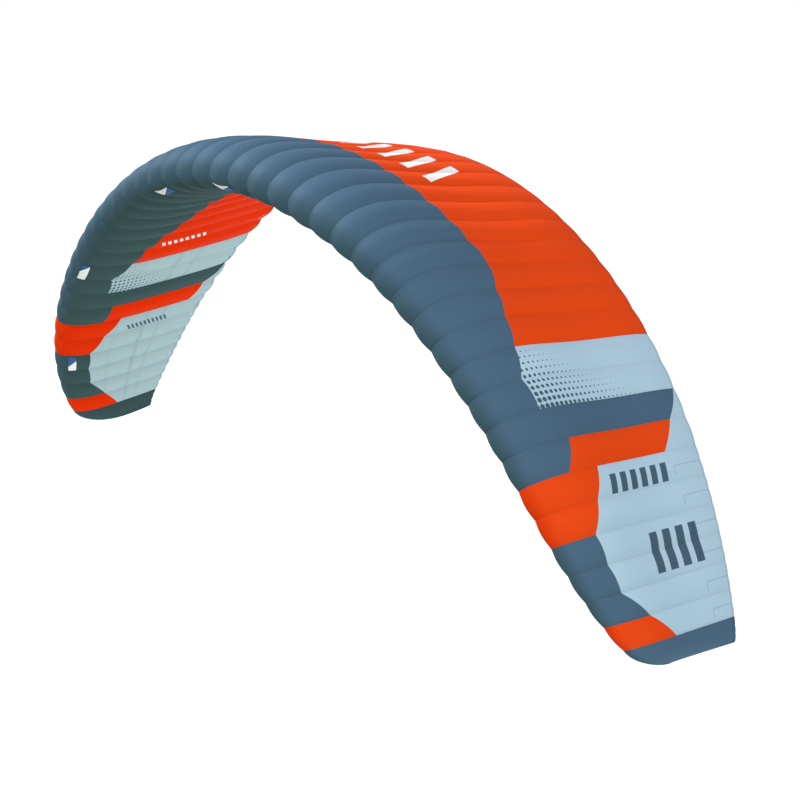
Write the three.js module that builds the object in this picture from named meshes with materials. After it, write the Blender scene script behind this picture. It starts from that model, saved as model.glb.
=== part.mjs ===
import * as THREE from 'three';

// Sizes in millimetres, angles in radians. The wing lies with its span along X, its nose
// towards -Y, its trailing edge towards +Y and the top of its arch towards +Z.
const CELLS = 45;
const HALF_SPAN = 3160; // along the arch, from its middle to a tip
const CENTRE_CHORD = 1326;
const SEAM_GAP = 0.3; // between two neighbouring cells
const EDGE_THICKNESS = 3; // the sewn trailing edge

// Each row is a polynomial in s, the place along the arch: 0 at the middle, 1 at a tip.
const RIB_PLACE = { s1: 1.097, s3: -0.0749, s5: -0.0221 };
const ARCH_ANGLE = { s1: 1.4874, s3: -0.5675, s5: 0.7765, s7: -0.5837 };
const CHORD_TAPER = { s0: 1, s2: -0.5347, s4: 0.4369, s6: -0.5183 };
const NOSE_SWEEP = { s2: 0.1658, s4: -0.2257, s6: 0.2332 }; // in half spans
const TWIST = { s0: -0.0289, s2: 0.017, s4: -0.1144 };
const TOP_DEPTH = { s0: 0.2548, s2: 0.1043, s4: -0.1211 };
const UNDER_DEPTH = { s0: 0.172, s2: -0.0167, s4: -0.041 };
const AFT_SLIMMING = { top: 0.4239, under: 0.1733 }; // of the depth, at two thirds chord

// How the air swells the cloth between two rib seams.
const SWELL = 0.059; // height of the swell, as a share of the cell's width
const SWELL_FADES_FROM = 0.5; // chord share
const SCALLOP = 0.087; // how far the trailing edge bows back, as a share of the width
const SCALLOP_DIP = 0.032; // how far it bows inwards, as a share of the width
const SCALLOP_FROM = 0.8; // chord share where a scallop or a half rib begins
const TIP_ROUNDING = 0.3; // chord share taken off the nose at the tip's edge
const TIP_DROP = 0.525; // how far that edge lies below the chord, as a share of its depth

const CHORD_STATIONS = [0, 0.006, 0.024, 0.058, 0.11, 0.18, 0.27, 0.38, 0.5, 0.64, 0.8, 0.91, 1];
const SPAN_STATIONS = [0, 0.25, 0.5, 0.75, 1];
const NORMAL_STEP = 0.004; // in q, to find which way a skin faces
const TIP_STATIONS = [0, 0.17, 0.33, 0.5, 0.67, 0.8, 0.9, 0.97, 1];

// Cells are counted from the nearer tip: the tip cell is 0 and the middle one 22.
const HALF_RIB_CELLS = { from: 1, to: 6 };

// The air inlets: a valve cloth closes each one, on the lower skin just behind the nose.
const INLET_THICKNESS = 1.5;
const INLET_GAP = 0.3;
const INLET_MARGIN = 0.16; // to the rib seam, as a share of the first span station
const INLETS = [
  { cell: 4, front: 0.052, rear: 0.106 },
  { cell: 10, front: 0.018, rear: 0.052 },
  { cell: 18, front: 0.024, rear: 0.056 },
  { cell: 22, front: 0.01, rear: 0.034 },
];

// The cloth that covers most of each cell.
const CLOTHS = [
  { name: 'slate', colour: 0x4a6a82, cells: [0, 8] },
  { name: 'pale', colour: 0xa9c6d6, cells: [2, 3, 4, 5, 9, 10] },
  { name: 'orange', colour: 0xdf451c, cells: [1, 6, 7] },
];
const MIDDLE_CLOTH = 'orange';
const VALVE_COLOUR = 0xe9edf0;

// The origin is the mount, on the lower skin of the middle cell.
const MOUNT_CHORD_SHARE = 0.3;

function along(terms, s) {
  let sum = 0;
  for (const [name, factor] of Object.entries(terms)) {
    sum += factor * s ** Number(name.slice(1));
  }
  return sum;
}

// Follows the arch from its middle to s.
function archPoint(s) {
  const steps = 200;
  const step = s / steps;
  let x = 0;
  let z = 0;
  for (let i = 0; i < steps; i += 1) {
    const angle = along(ARCH_ANGLE, (i + 0.5) * step);
    x += Math.cos(angle) * step * HALF_SPAN;
    z -= Math.sin(angle) * step * HALF_SPAN;
  }
  return new THREE.Vector3(x, 0, z);
}

function makeRib(index) {
  const s = along(RIB_PLACE, (index - CELLS / 2) / (CELLS / 2));
  const angle = along(ARCH_ANGLE, s);
  return {
    place: archPoint(s),
    chord: along(CHORD_TAPER, s) * CENTRE_CHORD,
    nose: along(NOSE_SWEEP, s) * HALF_SPAN,
    twist: along(TWIST, s),
    top: along(TOP_DEPTH, s),
    under: along(UNDER_DEPTH, s),
    out: new THREE.Vector3(Math.sin(angle), 0, Math.cos(angle)),
    across: new THREE.Vector3(Math.cos(angle), 0, -Math.sin(angle)),
  };
}

// Half the depth of a rib at a chord share, for a rib of depth 1.
function halfDepth(share) {
  const powers = -0.126 * share - 0.3516 * share ** 2 + 0.2843 * share ** 3;
  return 5 * (0.2969 * Math.sqrt(share) + powers - 0.1036 * share ** 4);
}

// Nothing at the nose and the trailing edge, 1 at two thirds of the chord.
function aftWeight(share) {
  return 6.75 * share ** 2 * (1 - share);
}

// A point on a rib's outline. q runs from -1 at the trailing edge along the lower skin to 0
// at the nose, and along the top skin to 1. The chord share is q squared.
function outline(rib, q, trim) {
  const share = q * q;
  const chord = rib.chord * (1 - trim.cut);
  const slimming = (q > 0 ? AFT_SLIMMING.top : AFT_SLIMMING.under) * aftWeight(share);
  const full = (q > 0 ? rib.top : rib.under) * (1 - slimming);
  const depth = chord * full * trim.depth * halfDepth(share);
  const edge = (EDGE_THICKNESS / 2) * Math.min(1, Math.abs(q) / SCALLOP_FROM);
  const drop = TIP_DROP * (1 - trim.depth) * chord * rib.top * halfDepth(share);
  const height = Math.sign(q) * Math.max(depth, edge) - drop;
  const back = chord * share;
  const turn = rib.twist;
  const y = rib.nose + rib.chord * trim.cut + back * Math.cos(turn) + height * Math.sin(turn);
  const out = height * Math.cos(turn) - back * Math.sin(turn);
  return rib.place.clone().setY(y).addScaledVector(rib.out, out);
}

// The swell across a cell that half ribs divide into count lobes.
function lobes(t, count) {
  return Math.abs(Math.sin(Math.PI * count * t)) / count;
}

// A tip cell thins and its nose rounds off towards its outer edge.
function tipTrim(reach) {
  const round = Math.sqrt(Math.max(0, 1 - reach * reach));
  return { cut: TIP_ROUNDING * (1 - round), depth: round };
}

function makeCell(index) {
  const ribs = [makeRib(index), makeRib(index + 1)];
  const fromTip = Math.min(index, CELLS - 1 - index);
  const atLeft = index < CELLS - 1 - index;
  const width = ribs[1].place.distanceTo(ribs[0].place);
  const across = ribs[0].across.clone().add(ribs[1].across).normalize();
  const mid = ribs[0].out.clone().add(ribs[1].out).normalize();
  const halfRibbed = fromTip >= HALF_RIB_CELLS.from && fromTip <= HALF_RIB_CELLS.to;
  let edgeLobes = halfRibbed ? 2 : 1;
  if (fromTip === 0) edgeLobes = 3;

  // t runs across the cell towards +X, q around its outline.
  const point = (t, q) => {
    const trim = fromTip === 0 ? tipTrim(atLeft ? 1 - t : t) : { cut: 0, depth: 1 };
    const share = q * q;
    const between = (at) => outline(ribs[0], at, trim).lerp(outline(ribs[1], at, trim), t);
    const ahead = between(Math.min(1, q + NORMAL_STEP));
    const behind = between(Math.max(-1, q - NORMAL_STEP));
    const normal = across.clone().cross(ahead.sub(behind)).normalize();
    const fade = Math.min(1, (1 - share) / (1 - SWELL_FADES_FROM)) ** 0.7;
    const rear = Math.max(0, (share - SCALLOP_FROM) / (1 - SCALLOP_FROM));
    const blend = Math.min(1, rear * 3);
    const swell = width * THREE.MathUtils.lerp(lobes(t, 1), lobes(t, edgeLobes), blend);
    const p = between(q);
    p.addScaledVector(normal, SWELL * fade * swell);
    p.y += SCALLOP * rear * swell;
    p.addScaledVector(mid, -SCALLOP_DIP * rear * swell);
    if (t === 0) p.addScaledVector(ribs[0].across, SEAM_GAP / 2);
    if (t === 1) p.addScaledVector(ribs[1].across, -SEAM_GAP / 2);
    return p;
  };
  return { index, fromTip, atLeft, ribs, point };
}

function spanStations(cell) {
  if (cell.fromTip > 0) return SPAN_STATIONS;
  return cell.atLeft ? TIP_STATIONS.map((t) => 1 - t).reverse() : TIP_STATIONS;
}

function inletShares(inlet) {
  return [inlet.front, (inlet.front + inlet.rear) / 2, inlet.rear];
}

// The q values of one ring. A cell with an inlet has its edges among them.
function ringStations(inlet) {
  const ends = inlet ? [inlet.front - 0.004, inlet.rear + 0.02] : [0, 0];
  const kept = CHORD_STATIONS.filter((share) => share < ends[0] || share > ends[1]);
  const under = inlet ? [...kept, ...inletShares(inlet)] : kept;
  const lower = under.map((share) => -Math.sqrt(share));
  const upper = CHORD_STATIONS.map((share) => Math.sqrt(share));
  return [...new Set([...lower, 0, ...upper].map((q) => q + 0))].sort((a, b) => a - b);
}

function closedMesh(points, faces) {
  let volume = 0;
  for (const [a, b, c] of faces) volume += points[a].dot(points[b].clone().cross(points[c]));
  const outward = volume > 0 ? faces : faces.map(([a, b, c]) => [a, c, b]);
  const geometry = new THREE.BufferGeometry().setFromPoints(points);
  geometry.setIndex(outward.flat());
  geometry.computeVertexNormals();
  return geometry;
}

// Rings of points joined into a tube, with a flat face over each end.
function tube(rings, cell) {
  const n = rings[0].length;
  const faces = [];
  for (let i = 0; i + 1 < rings.length; i += 1) {
    for (let j = 0; j < n; j += 1) {
      const next = (j + 1) % n;
      const [a, b] = [i * n + j, i * n + next];
      faces.push([a, b, b + n], [a, b + n, a + n]);
    }
  }
  const ends = [
    { ring: rings[0], rib: cell.ribs[0], first: 0 },
    { ring: rings[rings.length - 1], rib: cell.ribs[1], first: (rings.length - 1) * n },
  ];
  for (const { ring, rib, first } of ends) {
    const flat = ring.map((p) => new THREE.Vector2(p.y, p.clone().sub(rib.place).dot(rib.out)));
    for (const corners of THREE.ShapeUtils.triangulateShape(flat, [])) {
      const [a, b, c] = corners.map((corner) => corner + first).sort((l, r) => l - r);
      faces.push(first === 0 ? [c, b, a] : [a, b, c]);
    }
  }
  return closedMesh(rings.flat(), faces);
}

function cellGeometry(cell, inlet) {
  const qs = ringStations(inlet);
  return tube(spanStations(cell).map((t) => qs.map((q) => cell.point(t, q))), cell);
}

// The valve cloth follows the cell's own facets and stands a little off them.
function inletGeometry(cell, inlet) {
  const qs = inletShares(inlet).map((share) => -Math.sqrt(share));
  const rows = SPAN_STATIONS.map((t) => qs.map((q) => cell.point(t, q)));
  const last = rows.length - 1;
  rows[0] = rows[0].map((p, j) => p.lerp(rows[1][j], INLET_MARGIN));
  rows[last] = rows[last].map((p, j) => p.lerp(rows[last - 1][j], INLET_MARGIN));
  const normals = rows.map((row, i) => row.map((p, j) => {
    const ahead = rows[Math.min(last, i + 1)][j].clone().sub(rows[Math.max(0, i - 1)][j]);
    const rearward = row[Math.min(2, j + 1)].clone().sub(row[Math.max(0, j - 1)]);
    return rearward.cross(ahead).normalize();
  }));
  const layer = (offset) => rows.map((row, i) => (
    row.map((p, j) => p.clone().addScaledVector(normals[i][j], offset))));
  const inner = layer(INLET_GAP);
  const outer = layer(INLET_GAP + INLET_THICKNESS);
  const rings = inner.map((row, i) => [...row, ...outer[i].slice().reverse()]);
  const n = rings[0].length;
  const faces = [];
  for (let i = 0; i + 1 < rings.length; i += 1) {
    for (let j = 0; j < n; j += 1) {
      const next = (j + 1) % n;
      const [a, b] = [i * n + j, i * n + next];
      faces.push([a, b, b + n], [a, b + n, a + n]);
    }
  }
  for (const first of [0, last * n]) {
    for (const [a, b, c] of [[0, 1, 4], [0, 4, 5], [1, 2, 3], [1, 3, 4]]) {
      const face = [first + a, first + b, first + c];
      faces.push(first === 0 ? face.reverse() : face);
    }
  }
  return closedMesh(rings.flat(), faces);
}

function addMesh(group, name, geometry, colour) {
  const material = new THREE.MeshStandardMaterial({ color: colour, roughness: 0.6 });
  const mesh = new THREE.Mesh(geometry, material);
  mesh.name = name;
  group.add(mesh);
}

function clothOf(fromTip) {
  const named = CLOTHS.find(({ cells }) => cells.includes(fromTip));
  return named ?? CLOTHS.find(({ name }) => name === MIDDLE_CLOTH);
}

function makeKite() {
  const kite = new THREE.Group();
  kite.name = 'foil_kite';
  const middle = makeCell((CELLS - 1) / 2);
  const origin = middle.point(0.5, -Math.sqrt(MOUNT_CHORD_SHARE));
  let inlets = 0;
  for (let index = 0; index < CELLS; index += 1) {
    const cell = makeCell(index);
    const inlet = INLETS.find((row) => row.cell === cell.fromTip);
    const number = String(index + 1).padStart(2, '0');
    const geometry = cellGeometry(cell, inlet);
    addMesh(kite, `cell_${number}`, geometry, clothOf(cell.fromTip).colour);
    if (inlet) {
      inlets += 1;
      addMesh(kite, `inlet_${inlets}`, inletGeometry(cell, inlet), VALVE_COLOUR);
    }
  }
  for (const mesh of kite.children) mesh.geometry.translate(-origin.x, -origin.y, -origin.z);
  return kite;
}

export default makeKite();
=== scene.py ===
"""A foil kite in flight: its cloth, seams, inlets and light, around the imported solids."""

import math

import bmesh
import bpy
import numpy as np
from mathutils import Matrix, Vector


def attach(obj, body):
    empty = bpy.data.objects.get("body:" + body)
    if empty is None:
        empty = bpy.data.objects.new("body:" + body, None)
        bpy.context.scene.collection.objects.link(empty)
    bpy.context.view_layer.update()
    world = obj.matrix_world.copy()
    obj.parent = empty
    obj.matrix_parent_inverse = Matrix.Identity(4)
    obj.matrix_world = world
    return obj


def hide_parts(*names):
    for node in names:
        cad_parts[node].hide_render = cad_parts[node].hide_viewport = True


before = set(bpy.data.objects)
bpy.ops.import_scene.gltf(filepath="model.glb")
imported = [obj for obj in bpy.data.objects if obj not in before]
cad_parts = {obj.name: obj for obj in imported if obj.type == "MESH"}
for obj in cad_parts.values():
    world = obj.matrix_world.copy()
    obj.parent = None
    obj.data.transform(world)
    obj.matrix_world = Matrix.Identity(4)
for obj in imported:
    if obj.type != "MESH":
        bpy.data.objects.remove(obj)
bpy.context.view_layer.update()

# Lengths in metres, angles in radians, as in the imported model.
CELLS = 45
HALF_SPAN = 3.160
CENTRE_CHORD = 1.326
EDGE_THICKNESS = 0.003

# Polynomials in s, the place along the arch from its middle, keyed by power.
RIB_PLACE = {1: 1.097, 3: -0.0749, 5: -0.0221}
ARCH_ANGLE = {1: 1.4874, 3: -0.5675, 5: 0.7765, 7: -0.5837}
CHORD_TAPER = {0: 1, 2: -0.5347, 4: 0.4369, 6: -0.5183}
NOSE_SWEEP = {2: 0.1658, 4: -0.2257, 6: 0.2332}
TWIST = {0: -0.0289, 2: 0.017, 4: -0.1144}
TOP_DEPTH = {0: 0.2548, 2: 0.1043, 4: -0.1211}
UNDER_DEPTH = {0: 0.172, 2: -0.0167, 4: -0.041}
AFT_SLIMMING = {"top": 0.4239, "under": 0.1733}

# Half the depth of a wing section, by powers of the chord share, for a depth of one fifth.
SECTION = {0.5: 0.2969, 1: -0.126, 2: -0.3516, 3: 0.2843, 4: -0.1036}

SWELL = 0.059
SWELL_FADES_FROM = 0.5
SCALLOP = 0.087
SCALLOP_DIP = 0.032
SCALLOP_FROM = 0.8
TIP_ROUNDING = 0.3
TIP_DROP = 0.525
NORMAL_STEP = 0.004
SIDE_STEP = 0.01
ROUND_STEP = 0.003
ARCH_STEPS = 200
HALF_RIB_CELLS = range(1, 7)
MOUNT_CHORD_SHARE = 0.3

# How finely the skin is cut into faces: columns stand at these shares of a cell's width, and
# rows are even from the nose to the edge.
COLUMNS = (0, 0.035, 0.09, 0.16, 0.25, 0.33, 0.41, 0.5, 0.59, 0.67, 0.75, 0.84, 0.91, 0.965)
TIP_COLUMNS = (0, 0.08, 0.16, 0.25, 0.33, 0.41, 0.5, 0.59, 0.67, 0.75, 0.83, 0.9, 0.95, 0.98)
ROWS = 46

# The camera, as the photograph was taken
CAMERA_PLACE = (7.2688, -5.1867, 1.3763)
CAMERA_RIGHT = (0.62766, 0.77833, 0.01552)
CAMERA_DOWN = (0.21256, -0.15216, -0.96523)
CAMERA_AHEAD = (-0.74891, 0.60913, -0.26095)
CAMERA_LENS = 83.61
CAMERA_SHIFT = (-0.00188, 0.00085)


def make_camera():
    lens = bpy.data.cameras.new("camera")
    camera = bpy.data.objects.new("camera", lens)
    bpy.context.scene.collection.objects.link(camera)
    lens.lens = CAMERA_LENS
    lens.sensor_width = 36
    lens.shift_x, lens.shift_y = CAMERA_SHIFT
    lens.clip_end = 500
    turn = Matrix((CAMERA_RIGHT, [-c for c in CAMERA_DOWN], [-c for c in CAMERA_AHEAD]))
    camera.matrix_world = Matrix.Translation(CAMERA_PLACE) @ turn.transposed().to_4x4()
    bpy.context.scene.camera = camera


make_camera()


# The wing's shape
def along(terms, s):
    return sum(factor * s**power for power, factor in terms.items())


def arch_point(s):
    """A place on the arch, reached from its middle in short straight steps."""
    angle = along(ARCH_ANGLE, (np.arange(ARCH_STEPS) + 0.5) * s / ARCH_STEPS)
    step = s / ARCH_STEPS * HALF_SPAN
    return np.array([np.cos(angle).sum() * step, 0, -np.sin(angle).sum() * step])


RIB_S = along(RIB_PLACE, (np.arange(CELLS + 1) - CELLS / 2) / (CELLS / 2))
RIB_ANGLE = along(ARCH_ANGLE, RIB_S)
RIB = {
    "place": np.array([arch_point(s) for s in RIB_S]),
    "chord": along(CHORD_TAPER, RIB_S) * CENTRE_CHORD,
    "nose": along(NOSE_SWEEP, RIB_S) * HALF_SPAN,
    "twist": along(TWIST, RIB_S),
    "top": along(TOP_DEPTH, RIB_S),
    "under": along(UNDER_DEPTH, RIB_S),
    "out": np.stack([np.sin(RIB_ANGLE), 0 * RIB_S, np.cos(RIB_ANGLE)], 1),
    "across": np.stack([np.cos(RIB_ANGLE), 0 * RIB_S, -np.sin(RIB_ANGLE)], 1),
}
CELL_WIDTH = np.linalg.norm(np.diff(RIB["place"], axis=0), axis=1)


def half_depth(share):
    return 5 * along(SECTION, share)


def unit(v):
    return v / np.maximum(np.linalg.norm(v, axis=-1, keepdims=True), 1e-9)


def rib_outline(rib, q, full):
    """Points on the outlines of ribs: q is -1 at the edge below, 0 at the nose, 1 above."""
    share = q * q
    cut = TIP_ROUNDING * (1 - full)
    chord = RIB["chord"][rib] * (1 - cut)
    upper = q > 0
    aft = 6.75 * share**2 * (1 - share)  # 1 at two thirds of the chord
    slim = 1 - np.where(upper, AFT_SLIMMING["top"], AFT_SLIMMING["under"]) * aft
    depth = np.where(upper, RIB["top"][rib], RIB["under"][rib]) * slim
    depth = chord * depth * full * half_depth(share)
    edge = EDGE_THICKNESS / 2 * np.minimum(1, np.abs(q) / SCALLOP_FROM) * (full > 0)
    drop = TIP_DROP * (1 - full) * chord * RIB["top"][rib] * half_depth(share)
    height = np.sign(q) * np.maximum(depth, edge) - drop
    turn = RIB["twist"][rib]
    y = RIB["nose"][rib] + RIB["chord"][rib] * cut
    y = y + chord * share * np.cos(turn) + height * np.sin(turn)
    out = height * np.cos(turn) - chord * share * np.sin(turn)
    return RIB["place"][rib] + out[:, None] * RIB["out"][rib] + y[:, None] * (0, 1, 0)


def wing_points(x, q):
    """The skin at x cells from the left tip and q round the outline."""
    x, q = np.asarray(x, float), np.asarray(q, float)
    cell = np.clip(np.floor(x), 0, CELLS - 1).astype(int)
    t = x - cell
    from_tip = np.minimum(cell, CELLS - 1 - cell)
    reach = np.where(from_tip > 0, 0, np.where(cell == 0, 1 - t, t))
    full = np.sqrt(np.maximum(0, 1 - reach**2))
    share = q * q

    def between(at):
        left, right = rib_outline(cell, at, full), rib_outline(cell + 1, at, full)
        return left + (right - left) * t[:, None]

    chordwise = between(np.minimum(1, q + NORMAL_STEP)) - between(np.maximum(-1, q - NORMAL_STEP))
    across = unit(RIB["across"][cell] + RIB["across"][cell + 1])
    normal = unit(np.cross(across, chordwise))
    middle = unit(RIB["out"][cell] + RIB["out"][cell + 1])
    fade = np.minimum(1, (1 - share) / (1 - SWELL_FADES_FROM)) ** 0.7
    rear = np.maximum(0, (share - SCALLOP_FROM) / (1 - SCALLOP_FROM))
    # A half rib parts the trailing edge of a cell in two, and the tip cell's is in three.
    lobes = np.where(from_tip == 0, 3, np.where(np.isin(from_tip, HALF_RIB_CELLS), 2, 1))
    whole = np.abs(np.sin(np.pi * t))
    parted = np.abs(np.sin(np.pi * lobes * t)) / lobes
    blend = np.minimum(1, rear * 3)
    swell = CELL_WIDTH[cell] * (whole + (parted - whole) * blend)
    points = between(q) + (SWELL * fade * swell)[:, None] * normal
    points += (SCALLOP * rear * swell)[:, None] * np.array((0, 1, 0))
    return points - (SCALLOP_DIP * rear * swell)[:, None] * middle


MOUNT = wing_points([CELLS / 2], [-math.sqrt(MOUNT_CHORD_SHARE)])[0]


def skin(x, q, lift=0.0):
    """The skin in the model's frame, lifted off itself along its own normal."""
    points = wing_points(x, q)
    if lift:
        x, q = np.asarray(x, float), np.asarray(q, float)
        over = wing_points(x + SIDE_STEP, q) - wing_points(x - SIDE_STEP, q)
        round_it = wing_points(x, q + ROUND_STEP) - wing_points(x, q - ROUND_STEP)
        points = points + lift * unit(np.cross(over, round_it))
    return points - MOUNT


# The cloths: each border's chord shares at a cell's outer and inner rib, above and below.
# Cells and ribs are counted from the nearer tip.
BORDERS = [
    {"cell": 1, "fore": "orange", "aft": "pale", "top": (0.401, 0.268), "under": (0.496, 0.352)},
    {"cell": 2, "fore": "slate", "aft": "pale", "top": (0.268, 0.157), "under": (0.352, 0.215)},
    {"cell": 3, "fore": "slate", "aft": "pale", "top": (0.157, 0.159), "under": (0.215, 0.203)},
    {"cell": 4, "fore": "slate", "aft": "pale", "top": (0.159, 0.169), "under": (0.203, 0.206)},
    {"cell": 5, "fore": "orange", "aft": "pale", "top": (0.169, 0.261), "under": (0.206, 0.29)},
    {"cell": 6, "fore": "orange", "aft": "pale", "top": (0.261, 0.342), "under": (0.29, 0.376)},
    {"cell": 7, "fore": "slate", "aft": "orange", "top": (0.18, 0.259), "under": (0.25, 0.283)},
    {"cell": 7, "fore": "orange", "aft": "pale", "top": (0.783, 0.889), "under": (0.871, 0.911)},
    {"cell": 8, "fore": "slate", "aft": "pale", "top": (0.889, 0.992), "under": (0.915, 0.995)},
]
SLATE_ENDS = {
    "first rib": 9,
    "top": (
        *(0.186, 0.182, 0.235, 0.281, 0.334, 0.393, 0.396),
        *(0.401, 0.401, 0.404, 0.409, 0.412, 0.418, 0.418),
    ),
    "under": (
        *(0.21, 0.197, 0.27, 0.298, 0.342, 0.385, 0.401),
        *(0.401, 0.42, 0.42, 0.42, 0.42, 0.42, 0.42),
    ),
}
PALE_CELLS = (9, 10)
BORDER_BOW = 0.004
CLOTHS = ("slate", "orange", "pale")


def borders_of(from_tip):
    """The borders of a cell, from the nose backwards."""
    first = from_tip - SLATE_ENDS["first rib"]
    if first < 0:
        return [row for row in BORDERS if row["cell"] == from_tip]
    ends = {}
    for side in ("top", "under"):
        ribs = SLATE_ENDS[side]
        ends[side] = (ribs[first], ribs[min(first + 1, len(ribs) - 1)])
    aft = "pale" if from_tip in PALE_CELLS else "orange"
    return [{"fore": "slate", "aft": aft, **ends}]


def border_share(border, side, inward):
    outer, inner = border[side]
    return outer + (inner - outer) * inward + BORDER_BOW * 4 * inward * (1 - inward)


def cell_at(x):
    cell = min(max(math.floor(x), 0), CELLS - 1)
    at_left = cell < CELLS - 1 - cell
    t = x - cell
    return min(cell, CELLS - 1 - cell), (t if at_left else 1 - t)


def cloth_at(x, q):
    from_tip, inward = cell_at(x)
    side = "top" if q > 0 else "under"
    cloth = "slate"
    for border in borders_of(from_tip):
        if q * q < border_share(border, side, inward):
            return border["fore"]
        cloth = border["aft"]
    return cloth


# The skin: a flat pattern, cut along the cloths' borders and then drawn over the ribs
def column_place(index):
    cell, column = divmod(index, len(COLUMNS))
    if cell == 0:
        return 1 - (TIP_COLUMNS[-column] if column else 1)
    if cell == CELLS:
        return float(CELLS)
    return cell + (TIP_COLUMNS if cell == CELLS - 1 else COLUMNS)[column]


def lay_pattern():
    """A flat grid, x cells from the left tip and q round the outline."""
    pattern = bmesh.new()
    columns, rows = CELLS * len(COLUMNS), 2 * ROWS
    bmesh.ops.create_grid(pattern, x_segments=columns, y_segments=rows, size=1)
    for v in pattern.verts:
        column, row = round((v.co.x + 1) / 2 * columns), round((v.co.y + 1) / 2 * rows)
        v.co = (column_place(column), row / ROWS - 1, 0)
    return pattern


def cut_panels(pattern):
    """New edges along every border between two cloths, a quarter of a cell at a time."""
    quarters = {}
    for face in pattern.faces:
        middle = face.calc_center_median()
        quarters.setdefault((math.floor(middle.x * 4), middle.y > 0), []).append(face)
    for (quarter, upper), faces in quarters.items():
        from_tip = cell_at((quarter + 0.5) / 4)[0]
        for border in borders_of(from_tip):
            ends = []
            for x in (quarter / 4, (quarter + 1) / 4):
                inward = abs(x - (from_tip if x < CELLS / 2 else CELLS - from_tip))
                share = border_share(border, "top" if upper else "under", inward)
                ends.append(Vector((x, math.sqrt(share) * (1 if upper else -1), 0)))
            run = ends[1] - ends[0]
            crossed = [f for f in faces if f.is_valid and crosses(f, ends)]
            edges = {e for f in crossed for e in f.edges}
            verts = {v for f in crossed for v in f.verts}
            cut = bmesh.ops.bisect_plane(
                pattern,
                geom=[*crossed, *edges, *verts],
                dist=1e-5,
                plane_co=ends[0],
                plane_no=(-run.y, run.x, 0),
            )
            faces += [f for f in cut["geom"] if isinstance(f, bmesh.types.BMFace)]


def crosses(face, ends):
    low, high = sorted(end.y for end in ends)
    ys = [v.co.y for v in face.verts]
    return min(ys) <= high + 1e-6 and max(ys) >= low - 1e-6


def draw_over_ribs(pattern):
    """Moves the flat pattern onto the wing and keeps its flat places as vertex layers."""
    flat_x = pattern.verts.layers.float.new("flat_x")
    flat_q = pattern.verts.layers.float.new("flat_q")
    verts = list(pattern.verts)
    flat = np.array([v.co[:2] for v in verts])
    for v, (x, q), place in zip(verts, flat, skin(flat[:, 0], flat[:, 1])):
        v[flat_x], v[flat_q] = x, q
        v.co = place
    return flat_x, flat_q


def close_edges(pattern, flat_x, flat_q):
    """A narrow strip joins the skins along the trailing edge, and the tips' seams meet."""
    upper = [e for e in pattern.edges if all(v[flat_q] > 0.99999 for v in e.verts)]
    strip = bmesh.ops.extrude_edge_only(pattern, edges=upper)["geom"]
    hems = [v for v in strip if isinstance(v, bmesh.types.BMVert)]
    below = skin([v[flat_x] for v in hems], [-1.0] * len(hems))
    for v, place in zip(hems, below):
        v.co = place
    bmesh.ops.remove_doubles(pattern, verts=pattern.verts[:], dist=2e-5)
    bmesh.ops.dissolve_degenerate(pattern, edges=pattern.edges[:], dist=1e-6)
    bmesh.ops.recalc_face_normals(pattern, faces=pattern.faces[:])


def mark_creases(pattern, flat_x, flat_q):
    """The cloth folds sharply along every rib seam, half rib and hem."""
    for edge in pattern.edges:
        a, b = edge.verts
        x = (a[flat_x] + b[flat_x]) / 2
        q = (a[flat_q] + b[flat_q]) / 2
        level = abs(a[flat_x] - b[flat_x]) < 1e-4
        from_tip = cell_at(x)[0]
        half_rib = from_tip in HALF_RIB_CELLS and q * q > SCALLOP_FROM + 0.02
        on_half = half_rib and abs(x % 1 - 0.5) < 1e-3
        at_hem = abs(q) > 0.9999 or abs(q) < 1e-6 and abs(a[flat_q] - b[flat_q]) > 1
        edge.smooth = not (level and (abs(x - round(x)) < 1e-4 or on_half) or at_hem)
    for face in pattern.faces:
        face.smooth = True


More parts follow.
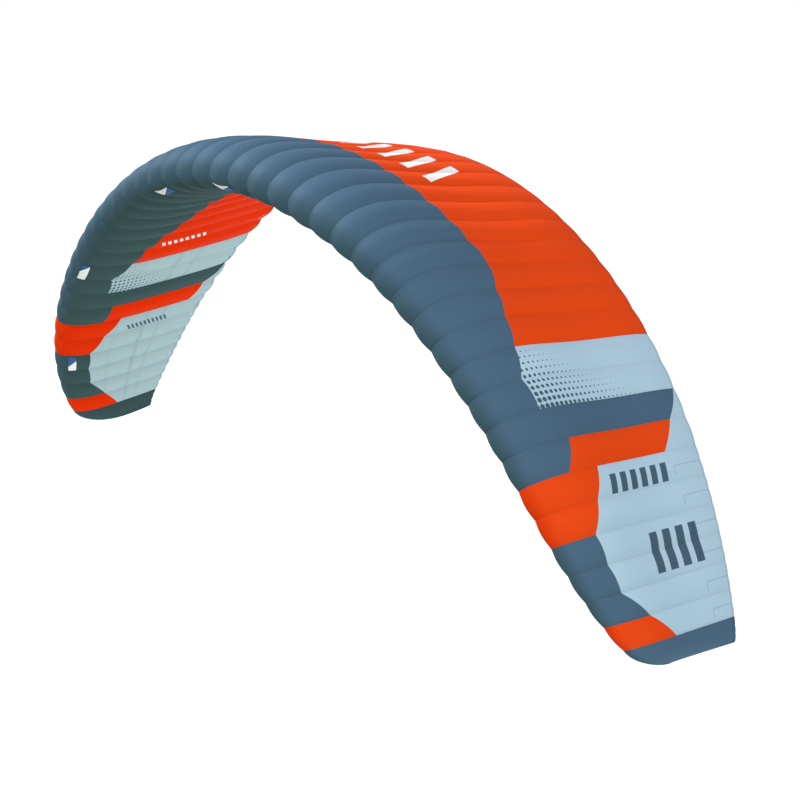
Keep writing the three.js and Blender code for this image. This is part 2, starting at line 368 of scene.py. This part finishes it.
def measure_cloth(mesh):
    """Writes where each corner lies on its cloth, in metres, for the materials to read."""
    flat = {}
    for name in ("flat_x", "flat_q"):
        flat[name] = np.empty(len(mesh.vertices), np.float32)
        mesh.attributes[name].data.foreach_get("value", flat[name])
    corner = np.empty(len(mesh.loops), np.int32)
    mesh.loops.foreach_get("vertex_index", corner)
    starts = np.empty(len(mesh.polygons), np.int32)
    totals = np.empty(len(mesh.polygons), np.int32)
    mesh.polygons.foreach_get("loop_start", starts)
    mesh.polygons.foreach_get("loop_total", totals)
    x, q = flat["flat_x"][corner].astype(float), flat["flat_q"][corner].astype(float)
    face_x = np.repeat(np.add.reduceat(x, starts) / totals, totals)
    face_q = np.repeat(np.add.reduceat(q, starts) / totals, totals)
    cell = np.clip(np.floor(face_x), 0, CELLS - 1).astype(int)
    t = x - cell
    from_tip = np.minimum(cell, CELLS - 1 - cell)
    inward = np.where(cell < CELLS / 2, t, 1 - t)
    chord = RIB["chord"][cell] + (RIB["chord"][cell + 1] - RIB["chord"][cell]) * t
    width = CELL_WIDTH[cell]
    share = q * q
    side = np.where(face_q > 0, 1.0, -1.0)
    has_half = np.isin(from_tip, HALF_RIB_CELLS)
    span = RIB_S[cell] + (RIB_S[cell + 1] - RIB_S[cell]) * t
    measures = {
        "seam": np.minimum(t, 1 - t) * width,
        "hem": (1 - share) * chord,
        "half_rib": np.where(has_half, (inward - 0.5) * width, 1.0),
        "closing": np.where(has_half, (share - SCALLOP_FROM) * chord, 1.0),
        "share": share * side,
        "billow": (2 * t - 1) * np.sqrt(width),
    }
    for name, values in measures.items():
        layer = mesh.attributes.new(name, "FLOAT", "CORNER")
        layer.data.foreach_set("value", values.astype(np.float32))
    maps = {
        "weave": (cell * 0.37 + t * width, np.sign(q) * share * chord),
        "print": (span * HALF_SPAN, np.sign(q) * share * chord),
    }
    for name, (across, rearward) in maps.items():
        uv = mesh.uv_layers.new(name=name)
        pairs = np.stack([across, rearward], 1).astype(np.float32)
        uv.data.foreach_set("uv", pairs.ravel())


def hang_up(cloth, name, materials=()):
    """Turns the faces into an object of the scene."""
    mesh = bpy.data.meshes.new(name)
    cloth.to_mesh(mesh)
    cloth.free()
    for material in materials:
        mesh.materials.append(material)
    piece = bpy.data.objects.new(name, mesh)
    bpy.context.scene.collection.objects.link(piece)
    return piece


def sew_canopy(materials):
    pattern = lay_pattern()
    cut_panels(pattern)
    for face in pattern.faces:
        middle = face.calc_center_median()
        face.material_index = CLOTHS.index(cloth_at(middle.x, middle.y))
    flat_x, flat_q = draw_over_ribs(pattern)
    close_edges(pattern, flat_x, flat_q)
    mark_creases(pattern, flat_x, flat_q)
    canopy = hang_up(pattern, "canopy", materials)
    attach(canopy, "root")
    measure_cloth(canopy.data)
    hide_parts(*[f"cell_{n:02d}" for n in range(1, CELLS + 1)])


# The air inlets, each closed by a two-coloured valve cloth in a dark binding
INLETS = [
    {"cell": 4, "front": 0.052, "rear": 0.106, "white": 0.52, "lean": 0.35},
    {"cell": 10, "front": 0.018, "rear": 0.052, "white": 0.78, "lean": 0.35},
    {"cell": 18, "front": 0.024, "rear": 0.056, "white": 0.62, "lean": -0.7},
    {"cell": 22, "front": 0.01, "rear": 0.034, "white": 0.62, "lean": -0.7},
]
INLET_MARGIN = 0.04
INLET_LIFT = 0.0012
BINDING = 0.0025
VALVE_THICKNESS = 0.0008
VALVE_GRID = (16, 8)
LENGTH_STEPS = 30
DIVIDE_RISE = 0.9
VALVE_PARTS = ("white", "blue", "binding")


def sew_inlet(number, cell, row, materials):
    width = CELL_WIDTH[cell] * (1 - 2 * INLET_MARGIN)
    shares = np.linspace(row["front"], row["rear"], LENGTH_STEPS)
    middle_line = skin([cell + 0.5] * LENGTH_STEPS, -np.sqrt(shares))
    lengths = np.append(0, np.cumsum(np.linalg.norm(np.diff(middle_line, axis=0), axis=1)))
    length = lengths[-1]
    cloth = bmesh.new()
    bmesh.ops.create_grid(cloth, x_segments=VALVE_GRID[0], y_segments=VALVE_GRID[1], size=0.5)
    bmesh.ops.scale(cloth, vec=(width, length, 1), verts=cloth.verts[:])
    bmesh.ops.inset_region(cloth, faces=cloth.faces[:], thickness=BINDING, use_even_offset=True)
    inside = [f for f in cloth.faces if is_inside(f, width, length)]
    outward = -1 if cell < CELLS / 2 else 1
    divide = Vector((-outward * width * (row["white"] - 0.5), 0, 0))
    lean = Vector((length * DIVIDE_RISE, -outward * width * row["lean"], 0))
    geom = [*inside, *{e for f in inside for e in f.edges}, *{v for f in inside for v in f.verts}]
    bmesh.ops.bisect_plane(cloth, geom=geom, plane_co=divide, plane_no=lean)
    for face in cloth.faces:
        middle = face.calc_center_median()
        part = "binding"
        if is_inside(face, width, length):
            beyond = (middle - divide).dot(lean) * outward > 0
            part = "white" if beyond else "blue"
        face.material_index = VALVE_PARTS.index(part)
        face.smooth = True
    verts = list(cloth.verts)
    x = [cell + 0.5 + v.co.x / width * (1 - 2 * INLET_MARGIN) for v in verts]
    q = [-math.sqrt(np.interp(length / 2 - v.co.y, lengths, shares)) for v in verts]
    weave = cloth.loops.layers.uv.new("weave")
    for face in cloth.faces:
        for loop in face.loops:
            loop[weave].uv = loop.vert.co.xy
    for v, place in zip(verts, skin(x, q, INLET_LIFT)):
        v.co = place
    valve = hang_up(cloth, f"valve_{number}", materials)
    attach(valve, "root")
    wall = valve.modifiers.new("thickness", "SOLIDIFY")
    wall.thickness = VALVE_THICKNESS
    wall.offset = 1
    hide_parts(f"inlet_{number}")


def is_inside(face, width, length):
    middle = face.calc_center_median()
    across = abs(middle.x) < width / 2 - BINDING
    return across and abs(middle.y) < length / 2 - BINDING


def sew_inlets(materials):
    places = [(row["cell"], row) for row in INLETS]
    places += [(CELLS - 1 - row["cell"], row) for row in reversed(INLETS[:-1])]
    for number, (cell, row) in enumerate(places, 1):
        sew_inlet(number, cell, row, materials)


# The finishes
class Flow:
    """A socket in a finish: sums and products of it add Math nodes."""

    def __init__(self, finish, socket):
        self.finish = finish
        self.socket = socket

    def maths(self, operation, *values):
        return self.finish.node("ShaderNodeMath", {"operation": operation}, values)

    def __add__(self, other):
        return self.maths("ADD", self, other)

    __radd__ = __add__

    def __sub__(self, other):
        return self.maths("SUBTRACT", self, other)

    def __rsub__(self, other):
        return self.maths("SUBTRACT", other, self)

    def __mul__(self, other):
        return self.maths("MULTIPLY", self, other)

    __rmul__ = __mul__

    def __truediv__(self, other):
        return self.maths("DIVIDE", self, other)

    def __abs__(self):
        return self.maths("ABSOLUTE", self)

    def most(self, other):
        return self.maths("MAXIMUM", self, other)

    def least(self, other):
        return self.maths("MINIMUM", self, other)

    def root(self):
        return self.maths("SQRT", self)

    def folded(self, length):
        """A zigzag: how far the value is from the nearest multiple of twice the length."""
        return self.maths("PINGPONG", self, length)

    def eased(self, low, high, start=0.0, end=1.0):
        """Runs smoothly from start at low to end at high, and stays there beyond."""
        settings = {"interpolation_type": "SMOOTHSTEP"}
        values = {"Value": self, "From Min": low, "From Max": high, "To Min": start, "To Max": end}
        return self.finish.node("ShaderNodeMapRange", settings, values)

    def near(self, place, reach, blur):
        """1 within reach of a place, 0 further off."""
        return abs(self - place).eased(reach, reach + blur, 1.0, 0.0)


class Finish:
    """The nodes of a material or of the air, added one call at a time."""

    def __init__(self, owner):
        owner.use_nodes = True
        self.owner = owner
        self.nodes = owner.node_tree.nodes
        self.links = owner.node_tree.links
        self.nodes.clear()

    def node(self, kind, settings=None, sockets=(), output=0):
        node = self.nodes.new(kind)
        for name, value in (settings or {}).items():
            setattr(node, name, value)
        pairs = sockets.items() if isinstance(sockets, dict) else enumerate(sockets)
        for key, value in pairs:
            if isinstance(value, Flow):
                self.links.new(value.socket, node.inputs[key])
            else:
                node.inputs[key].default_value = value
        return None if output is None else Flow(self, node.outputs[output])

    def measure(self, name):
        return self.node("ShaderNodeAttribute", {"attribute_name": name}, output="Fac")

    def map(self, name):
        """The two coordinates of a UV map, and the vector itself."""
        vector = self.node("ShaderNodeUVMap", {"uv_map": name})
        across = self.node("ShaderNodeSeparateXYZ", {}, [vector])
        rearward = Flow(self, across.socket.node.outputs[1])
        return across, rearward, vector

    def noise(self, vector, scale, detail=2.0, stretch=(1, 1, 1)):
        placed = self.node("ShaderNodeMapping", {}, {"Vector": vector, "Scale": stretch})
        values = {"Vector": placed, "Scale": scale, "Detail": detail}
        return self.node("ShaderNodeTexNoise", {}, values)

    def tint(self, base, colour, amount):
        """The base colour turned towards another one by an amount from 0 to 1."""
        values = {"Factor": amount, 6: base, 7: colour}
        return self.node("ShaderNodeMix", {"data_type": "RGBA"}, values, output=2)

    def shade(self, base, factor):
        """The base colour times a number."""
        grey = self.node("ShaderNodeCombineXYZ", {}, [factor, factor, factor])
        settings = {"data_type": "RGBA", "blend_type": "MULTIPLY"}
        return self.node("ShaderNodeMix", settings, {"Factor": 1.0, 6: base, 7: grey}, output=2)

    def bump(self, height, distance, strength=1.0, over=None):
        values = {"Height": height, "Distance": distance, "Strength": strength}
        if over:
            values["Normal"] = over
        return self.node("ShaderNodeBump", {}, values)

    def close(self, sockets, fixed):
        shader = self.node("ShaderNodeBsdfPrincipled", {}, {**fixed, **sockets})
        self.node("ShaderNodeOutputMaterial", {}, {"Surface": shader}, output=None)
        return self.owner


# Colours: of each cloth above, and below as painted shade, a darker and greener copy of the same
# cloth for the underside; then of the inlets and the ink
SLATE = {"above": (0.069, 0.133, 0.203, 1), "below": (0.042, 0.084, 0.086, 1)}
ORANGE = {"above": (0.80, 0.066, 0.008, 1), "below": (0.76, 0.030, 0.001, 1)}
PALE = {"above": (0.430, 0.600, 0.715, 1), "below": (0.38, 0.53, 0.56, 1)}
WHITE = (0.86, 0.87, 0.87, 1)
DARK = (0.020, 0.045, 0.060, 1)
BLUE = (0.006, 0.08, 0.23, 1)
SLATE_INK = (0.066, 0.118, 0.160, 1)
CLOTH_ROUGHNESS = 0.51
CLOTH_GLOSS = 0.015
MESH_GLOSS = 0.3

# At the nose the colour turns from the painted shade below to the colour above, between two chord
# shares.
NOSE_SHADE_TURN = (-0.035, 0.04)

# Printed rows of slanted bars, plain stand-ins. Places are metres along the span and the
# chord, negative below. The rows along the chord are on both halves.
ORANGE_ROWS = [
    {
        "ink": WHITE, "spanwise": True, "span": 0.0, "chord": 0.86,
        "long": 1.28, "high": 0.30, "bars": 8, "gap": 0.30, "slant": 0.45,
    },
    {
        "ink": WHITE, "spanwise": False, "span": 1.55, "chord": -0.59,
        "long": 0.32, "high": 0.06, "bars": 8, "gap": 0.22, "slant": 0.5,
    },
]
PALE_ROWS = [
    {
        "ink": SLATE_INK, "spanwise": False, "span": 2.385, "chord": 0.55,
        "long": 0.40, "high": 0.08, "bars": 6, "gap": 0.20, "slant": 0.4,
    },
    {
        "ink": SLATE_INK, "spanwise": False, "span": 2.70, "chord": 0.55,
        "long": 0.34, "high": 0.17, "bars": 4, "gap": 0.2, "slant": 0.4,
    },
    {
        "ink": SLATE_INK, "spanwise": False, "span": 2.395, "chord": -0.58,
        "long": 0.30, "high": 0.05, "bars": 10, "gap": 0.22, "slant": 0.5,
    },
]

# The printed dots: where they start, how large they are there and how fast they shrink
DOTS = {"pitch": 0.028, "size": 0.0135, "chord": 0.22, "span": 2.04, "inner span": 1.76}
DOT_SHRINK = {"rearward": 0.0175, "inboard": 0.03}
PRINT_BLUR = 0.001
DOT_BLUR = 0.0012

# The weave and the sewing, in metres
RIPSTOP_PITCH = 0.006
RIPSTOP_WIDTH = 0.0006
THREAD_PITCH = 0.0004
KNIT_PITCH = 0.0008
# How far from a rib seam the painted shade beside it reaches
SEAM_SHADE_REACH = 0.012
SEAM_PUCKER = 0.05
STITCH_ROW = 0.003
STITCH_WIDTH = 0.0006
STITCH_LENGTH = 0.0015
STITCH_GAP = 0.0004
HALF_RIB_WIDTH = 0.0012
HALF_RIB_FOOT = 0.02
HEM_ROW = 0.011
HEM_WIDTH = 0.001
SEWN_BLUR = 0.002

# Bands of creases across the cloth below, at chord shares, sunk in the relief and darkened as
# painted shade
CREASE_BANDS = [
    {"share": -0.575, "reach": 0.006, "blur": 0.022, "depth": 1.0},
    {"share": -0.70, "reach": 0.004, "blur": 0.018, "depth": 0.7},
    {"share": -0.35, "reach": 0.003, "blur": 0.018, "depth": 0.4},
]

# The relief: how far a cell curves between its ribs, then heights in metres
FILLED_CURVE = 0.065
CREASE_HEIGHT = 0.012
THREAD_HEIGHT = 0.00012
KNIT_HEIGHT = 0.0002


def weave_height(across, rearward):
    """Thicker threads every few millimetres both ways, over a plain weave."""
    ribs = across.folded(RIPSTOP_PITCH / 2).eased(0, RIPSTOP_WIDTH, 1.0, 0.0)
    ribs = ribs.most(rearward.folded(RIPSTOP_PITCH / 2).eased(0, RIPSTOP_WIDTH, 1.0, 0.0))
    threads = across.folded(THREAD_PITCH) + rearward.folded(THREAD_PITCH)
    return ribs * 0.7 + threads * (0.12 / THREAD_PITCH)


def bar_row(span, chordwise, row):
    """1 on the bars of a printed row, 0 beside them."""
    run, rise = chordwise - row["chord"], span - row["span"]
    if row["spanwise"]:
        run, rise = rise, run
    run = run + rise * row["slant"]
    pitch = row["long"] / row["bars"]
    gap = pitch * row["gap"]
    inside = run.near(0, row["long"] / 2, PRINT_BLUR) * rise.near(0, row["high"] / 2, PRINT_BLUR)
    return inside * run.folded(pitch / 2).eased(gap, gap + PRINT_BLUR)


def halftone(span, chordwise):
    """1 on a grid of dots that shrink rearwards and inboard."""
    back = abs(chordwise)
    across, along_chord = span.folded(DOTS["pitch"] / 2), back.folded(DOTS["pitch"] / 2)
    off = (across * across + along_chord * along_chord).root()
    size = DOTS["size"] - (back - DOTS["chord"]) * DOT_SHRINK["rearward"]
    size = size - (DOTS["span"] - span) * DOT_SHRINK["inboard"]
    reach = (DOTS["span"] - DOTS["inner span"]) / 2
    return (size - off).eased(0, DOT_BLUR) * span.near(DOTS["span"] - reach, reach, PRINT_BLUR)


def cloth_finish(name, colour, rows=(), dots=False, crease_shade=0.05):
    """Dyed and printed ripstop cloth, sewn along its ribs and filled by the wind."""
    finish = Finish(bpy.data.materials.new(name))
    across, rearward, weave = finish.map("weave")
    span, chordwise, print_map = finish.map("print")
    seam, hem = finish.measure("seam"), finish.measure("hem")
    half_rib, closing = finish.measure("half_rib"), finish.measure("closing")
    share, billow = finish.measure("share"), finish.measure("billow")

    # The dye, a little uneven, with painted shade below (darker and greener), and the prints on it
    mottle = finish.noise(print_map, 2.2, 3.0)
    fade = finish.noise(weave, 9.0, 2.0, (1, 0.25, 1))
    tone = mottle * 0.07 + fade * 0.06 + 0.935
    # 1 on the underside, where each colour turns to its painted shade
    lower = share.eased(*NOSE_SHADE_TURN, 1.0, 0.0)
    base = finish.shade(finish.tint(colour["above"], colour["below"], lower), tone)
    half_span = abs(span)
    for row in rows:
        place = span if row["spanwise"] else half_span
        base = finish.tint(base, row["ink"], bar_row(place, chordwise, row))
    if dots:
        base = finish.tint(base, SLATE_INK, halftone(half_span, chordwise))

    # The seams, the half ribs' sewing, the hem and the creases, each a little darker; beside the
    # seams and in the crease bands this is painted shade
    # Painted shade in the valley beside each rib seam
    seam_shade = seam.eased(0.0, SEAM_SHADE_REACH, 1.0, 0.0)
    stitches = rearward.folded(STITCH_LENGTH).eased(STITCH_GAP, STITCH_WIDTH)
    stitched = seam.near(STITCH_ROW, STITCH_WIDTH, STITCH_WIDTH) * stitches
    stem = half_rib.near(0, HALF_RIB_WIDTH, SEWN_BLUR) * closing.eased(0, SEWN_BLUR)
    foot = half_rib.near(-HALF_RIB_FOOT, HALF_RIB_FOOT, SEWN_BLUR)
    foot = foot * closing.near(0, HALF_RIB_WIDTH, SEWN_BLUR)
    half_seam = stem.most(foot) * share.eased(0, 0.1)
    hem_line = hem.near(HEM_ROW, HEM_WIDTH, SEWN_BLUR)
    # The crease bands: painted shade in the colour, and a dip in the relief
    bands = sum(share.near(b["share"], b["reach"], b["blur"]) * b["depth"] for b in CREASE_BANDS)
    bands = bands * (fade * 2.4 - 0.5)
    dark = seam_shade * 0.02 + half_seam * 0.24 + hem_line * 0.3 + hem.eased(0, HEM_ROW, 0.12, 0.0)
    dark = dark + stitched * 0.08 + bands * crease_shade
    base = finish.shade(base, 1 - dark.least(0.8))

    # The relief: the swell between the ribs, then wrinkles and puckers, then threads
    wrinkle = finish.noise(print_map, 6.0, 3.0, (1.6, 0.55, 1))
    pucker = finish.noise(weave, 30.0, 2.0, (0.6, 1.6, 1))
    pucker = pucker * seam.eased(0.0, SEAM_PUCKER, 1.0, 0.0)
    filled = finish.bump(billow * billow * -FILLED_CURVE, 1.0)
    creases = wrinkle * (lower * 0.9 + 0.7) + pucker * 0.25 - bands * 0.12
    creased = finish.bump(creases, CREASE_HEIGHT, 0.4, filled)
    threads = weave_height(across, rearward) + stitched
    normal = finish.bump(threads, THREAD_HEIGHT, 0.5, creased)
    gloss = mottle * 0.08 + CLOTH_ROUGHNESS
    varied = {"Base Color": base, "Roughness": gloss, "Normal": normal}
    return finish.close(varied, {"Specular IOR Level": CLOTH_GLOSS})


def plain_finish(name, colour, roughness=0.6):
    """A close mesh or tape, for the inlets."""
    finish = Finish(bpy.data.materials.new(name))
    across, rearward, weave = finish.map("weave")
    tone = finish.noise(weave, 40.0) * 0.1 + 0.95
    threads = (across.folded(KNIT_PITCH) + rearward.folded(KNIT_PITCH)) / KNIT_PITCH
    normal = finish.bump(threads, KNIT_HEIGHT, 0.5)
    varied = {"Base Color": finish.shade(colour, tone), "Normal": normal}
    return finish.close(varied, {"Roughness": roughness, "Specular IOR Level": MESH_GLOSS})


# The light, the floor and the air around. A lamp shines from its direction in the model's frame.
FLOOR_DEPTH = 9.0
FLOOR_RADIUS = 150
FLOOR_PAINT = (0.93, 0.935, 0.94, 1)
WHITE_PAPER = (1, 1, 1, 1)
AIR_ABOVE = (0.53, 0.54, 0.58, 1)
AIR_BELOW = (0.26, 0.30, 0.26, 1)
WARM = (1.0, 1.0, 0.98)
PLAIN = (1.0, 1.0, 1.0)
LAMPS = [
    {"name": "key", "from": (-0.84, -0.10, 0.50), "spread": 0.12, "power": 2.3, "tone": WARM},
    {"name": "front", "from": (0.12, -0.74, 0.66), "spread": 0.4, "power": 1.95, "tone": PLAIN},
    {"name": "side", "from": (0.90, 0.25, -0.35), "spread": 0.4, "power": 1.25, "tone": PLAIN},
    {"name": "fill", "from": (0.30, 0.10, -0.95), "spread": 0.4, "power": 1.1, "tone": PLAIN},
]


def lay_floor():
    """A wide pale floor far below, which neither shades the kite nor lights it."""
    disc = bmesh.new()
    bmesh.ops.create_circle(disc, cap_ends=True, radius=FLOOR_RADIUS, segments=64)
    bmesh.ops.translate(disc, verts=disc.verts[:], vec=(0, 0, -FLOOR_DEPTH))
    finish = Finish(bpy.data.materials.new("floor_paint"))
    speckle = finish.noise(finish.node("ShaderNodeTexCoord", output="Object"), 3.0)
    paint = finish.shade(FLOOR_PAINT, speckle * 0.01 + 0.99)
    floor = hang_up(disc, "floor", [finish.close({"Base Color": paint}, {"Roughness": 0.9})])
    floor.visible_diffuse = False
    floor.visible_shadow = False


def fill_air():
    """Air that is brighter above, and plain white where the camera looks straight into it."""
    air = Finish(bpy.data.worlds.new("air"))
    bpy.context.scene.world = air.owner
    seen = air.node("ShaderNodeTexCoord", output="Generated")
    height = air.node("ShaderNodeSeparateXYZ", {}, [seen], "Z")
    tone = air.tint(AIR_BELOW, AIR_ABOVE, height * 0.5 + 0.5)
    straight = air.node("ShaderNodeLightPath", output="Is Camera Ray")
    glow = air.node("ShaderNodeBackground", {}, {"Color": air.tint(tone, WHITE_PAPER, straight)})
    air.node("ShaderNodeOutputWorld", {}, {"Surface": glow}, output=None)


def hang_lamp(row):
    lamp = bpy.data.lights.new(row["name"], "SUN")
    lamp.angle, lamp.energy, lamp.color = row["spread"], row["power"], row["tone"]
    light = bpy.data.objects.new(row["name"], lamp)
    light.rotation_euler = (-Vector(row["from"])).to_track_quat("-Z", "Y").to_euler()
    bpy.context.scene.collection.objects.link(light)


bpy.context.scene.view_settings.view_transform = "Standard"
lay_floor()
fill_air()
for lamp_row in LAMPS:
    hang_lamp(lamp_row)

sew_canopy(
    [
        cloth_finish("slate_cloth_finish", SLATE),
        cloth_finish("orange_cloth_finish", ORANGE, ORANGE_ROWS),
        cloth_finish("pale_cloth_finish", PALE, PALE_ROWS, dots=True, crease_shade=0.16),
    ]
)
sew_inlets(
    [
        plain_finish("valve_mesh_finish", WHITE),
        plain_finish("valve_blue_finish", BLUE),
        plain_finish("valve_binding_finish", DARK, 0.7),
    ]
)
